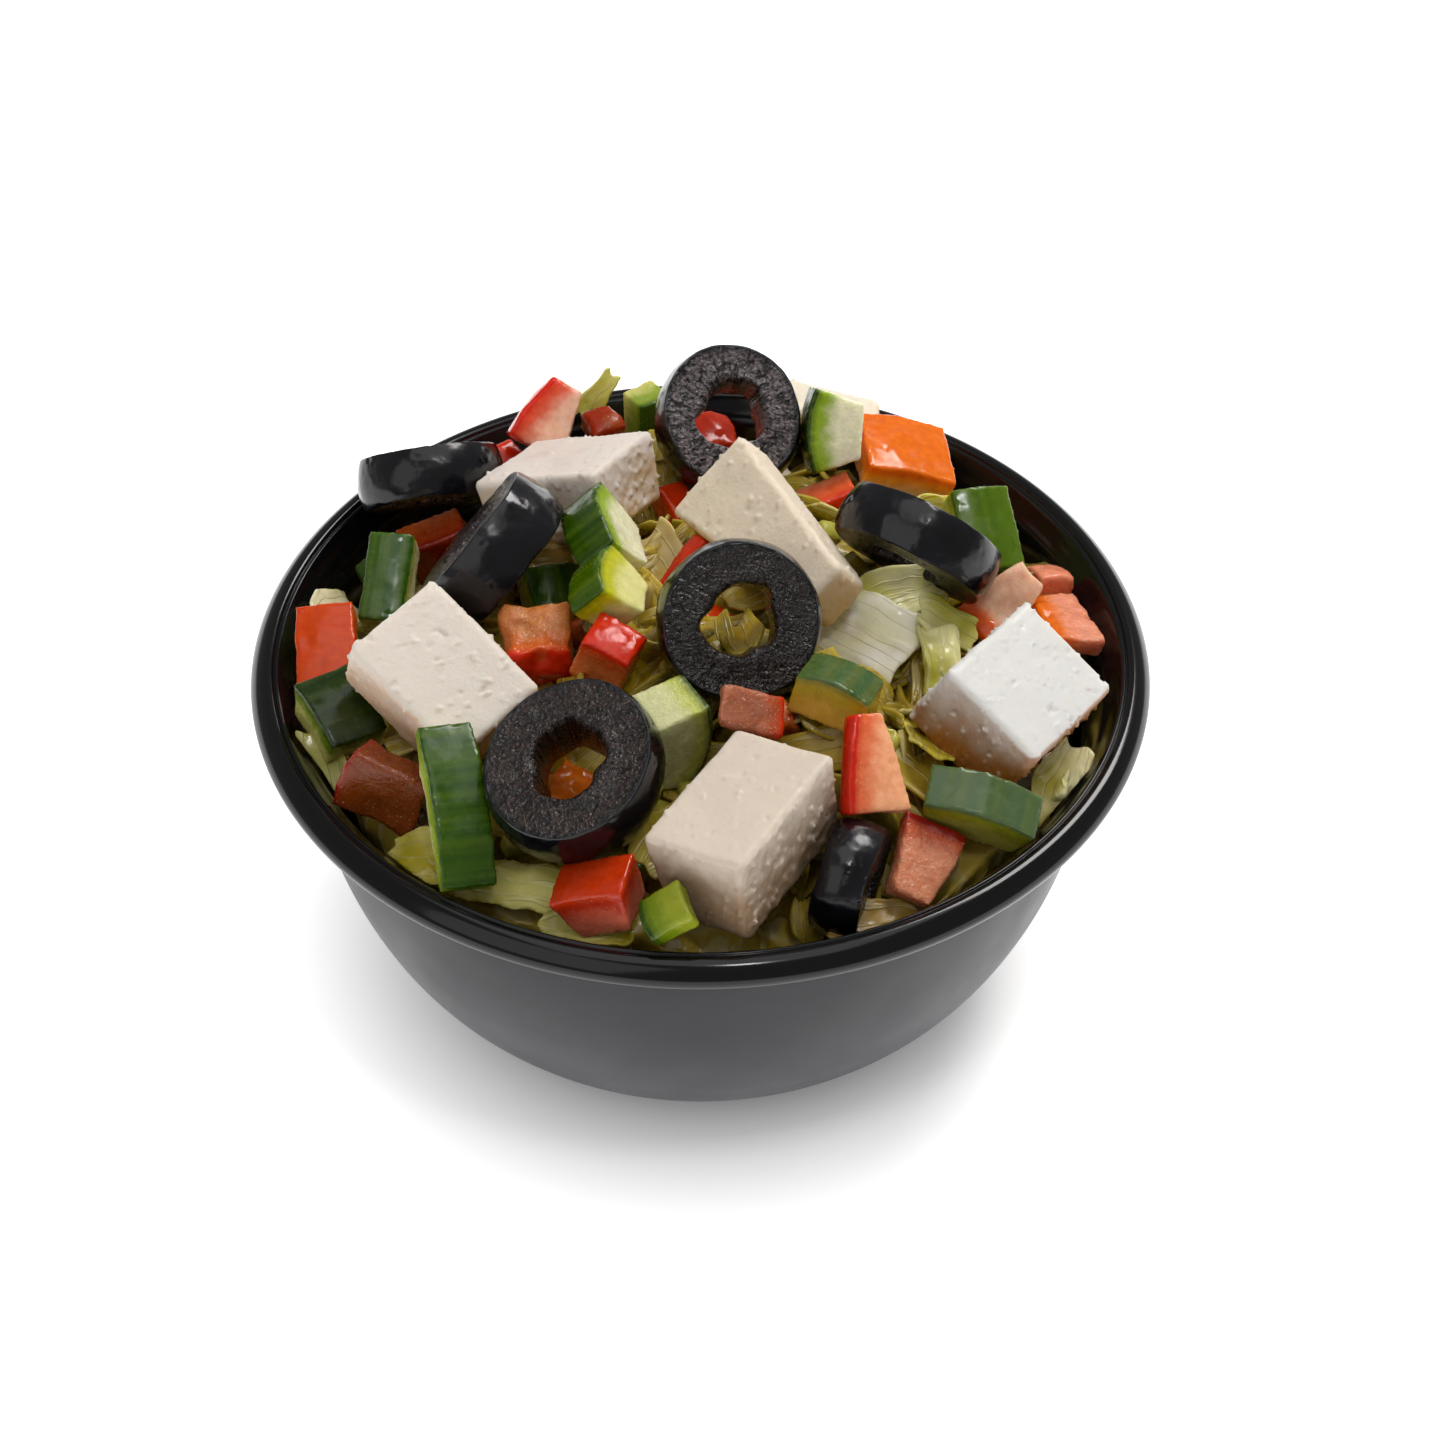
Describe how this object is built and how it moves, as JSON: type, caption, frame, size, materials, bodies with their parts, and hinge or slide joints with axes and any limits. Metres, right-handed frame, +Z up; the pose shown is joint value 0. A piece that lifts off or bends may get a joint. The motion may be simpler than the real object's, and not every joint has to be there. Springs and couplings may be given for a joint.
{
  "type": "greek salad in a bowl",
  "caption": "Round black bowl heaped with greek salad: diced feta, cucumber and tomato, sliced black olives and lettuce.",
  "frame": {"origin": "middle of the bowl's foot, on the surface it stands on", "axes": "+Z up through the bowl's middle, +Y to the back of the salad, +X to its right"},
  "size_m": [0.12, 0.12, 0.0767],
  "materials": {
    "black_enamel": "glossy black lip, satin black wall",
    "olive": "smooth shiny black skin, fibrous matt cut faces",
    "feta": "matt crumbly white cheese",
    "cucumber": "moist pale green flesh with glossy dark green skin",
    "tomato": "wet red to orange flesh with glossy red skin",
    "lettuce": "moist pale green leaf with whitish ribs"
  },
  "bodies": {
    "root": {"bowl": "black_enamel", "feta_back_left": "feta", "feta_middle": "feta", "feta_left": "feta", "feta_front": "feta", "feta_right": "feta", "feta_back": "feta", "olive_back": "olive", "olive_middle": "olive", "olive_front": "olive", "olive_rim": "olive", "olive_left": "olive", "olive_right": "olive", "olive_low": "olive", "cucumber_01": "cucumber", "cucumber_02": "cucumber", "cucumber_03": "cucumber", "cucumber_04": "cucumber", "cucumber_05": "cucumber", "cucumber_06": "cucumber", "cucumber_07": "cucumber", "cucumber_08": "cucumber", "cucumber_09": "cucumber", "cucumber_10": "cucumber", "cucumber_11": "cucumber", "cucumber_12": "cucumber", "cucumber_13": "cucumber", "cucumber_14": "cucumber", "cucumber_15": "cucumber", "cucumber_16": "cucumber", "tomato_01": "tomato", "tomato_02": "tomato", "tomato_03": "tomato", "tomato_04": "tomato", "tomato_05": "tomato", "tomato_06": "tomato", "tomato_07": "tomato", "tomato_08": "tomato", "tomato_09": "tomato", "tomato_10": "tomato", "tomato_11": "tomato", "tomato_12": "tomato", "tomato_13": "tomato", "tomato_14": "tomato", "tomato_15": "tomato", "tomato_16": "tomato", "tomato_17": "tomato", "tomato_18": "tomato", "tomato_19": "tomato", "tomato_20": "tomato", "tomato_21": "tomato", "tomato_22": "tomato", "lettuce_01": "lettuce", "lettuce_02": "lettuce", "lettuce_03": "lettuce", "lettuce_04": "lettuce", "lettuce_05": "lettuce", "lettuce_06": "lettuce", "salad_bed": "lettuce"}
  },
  "joints": []
}
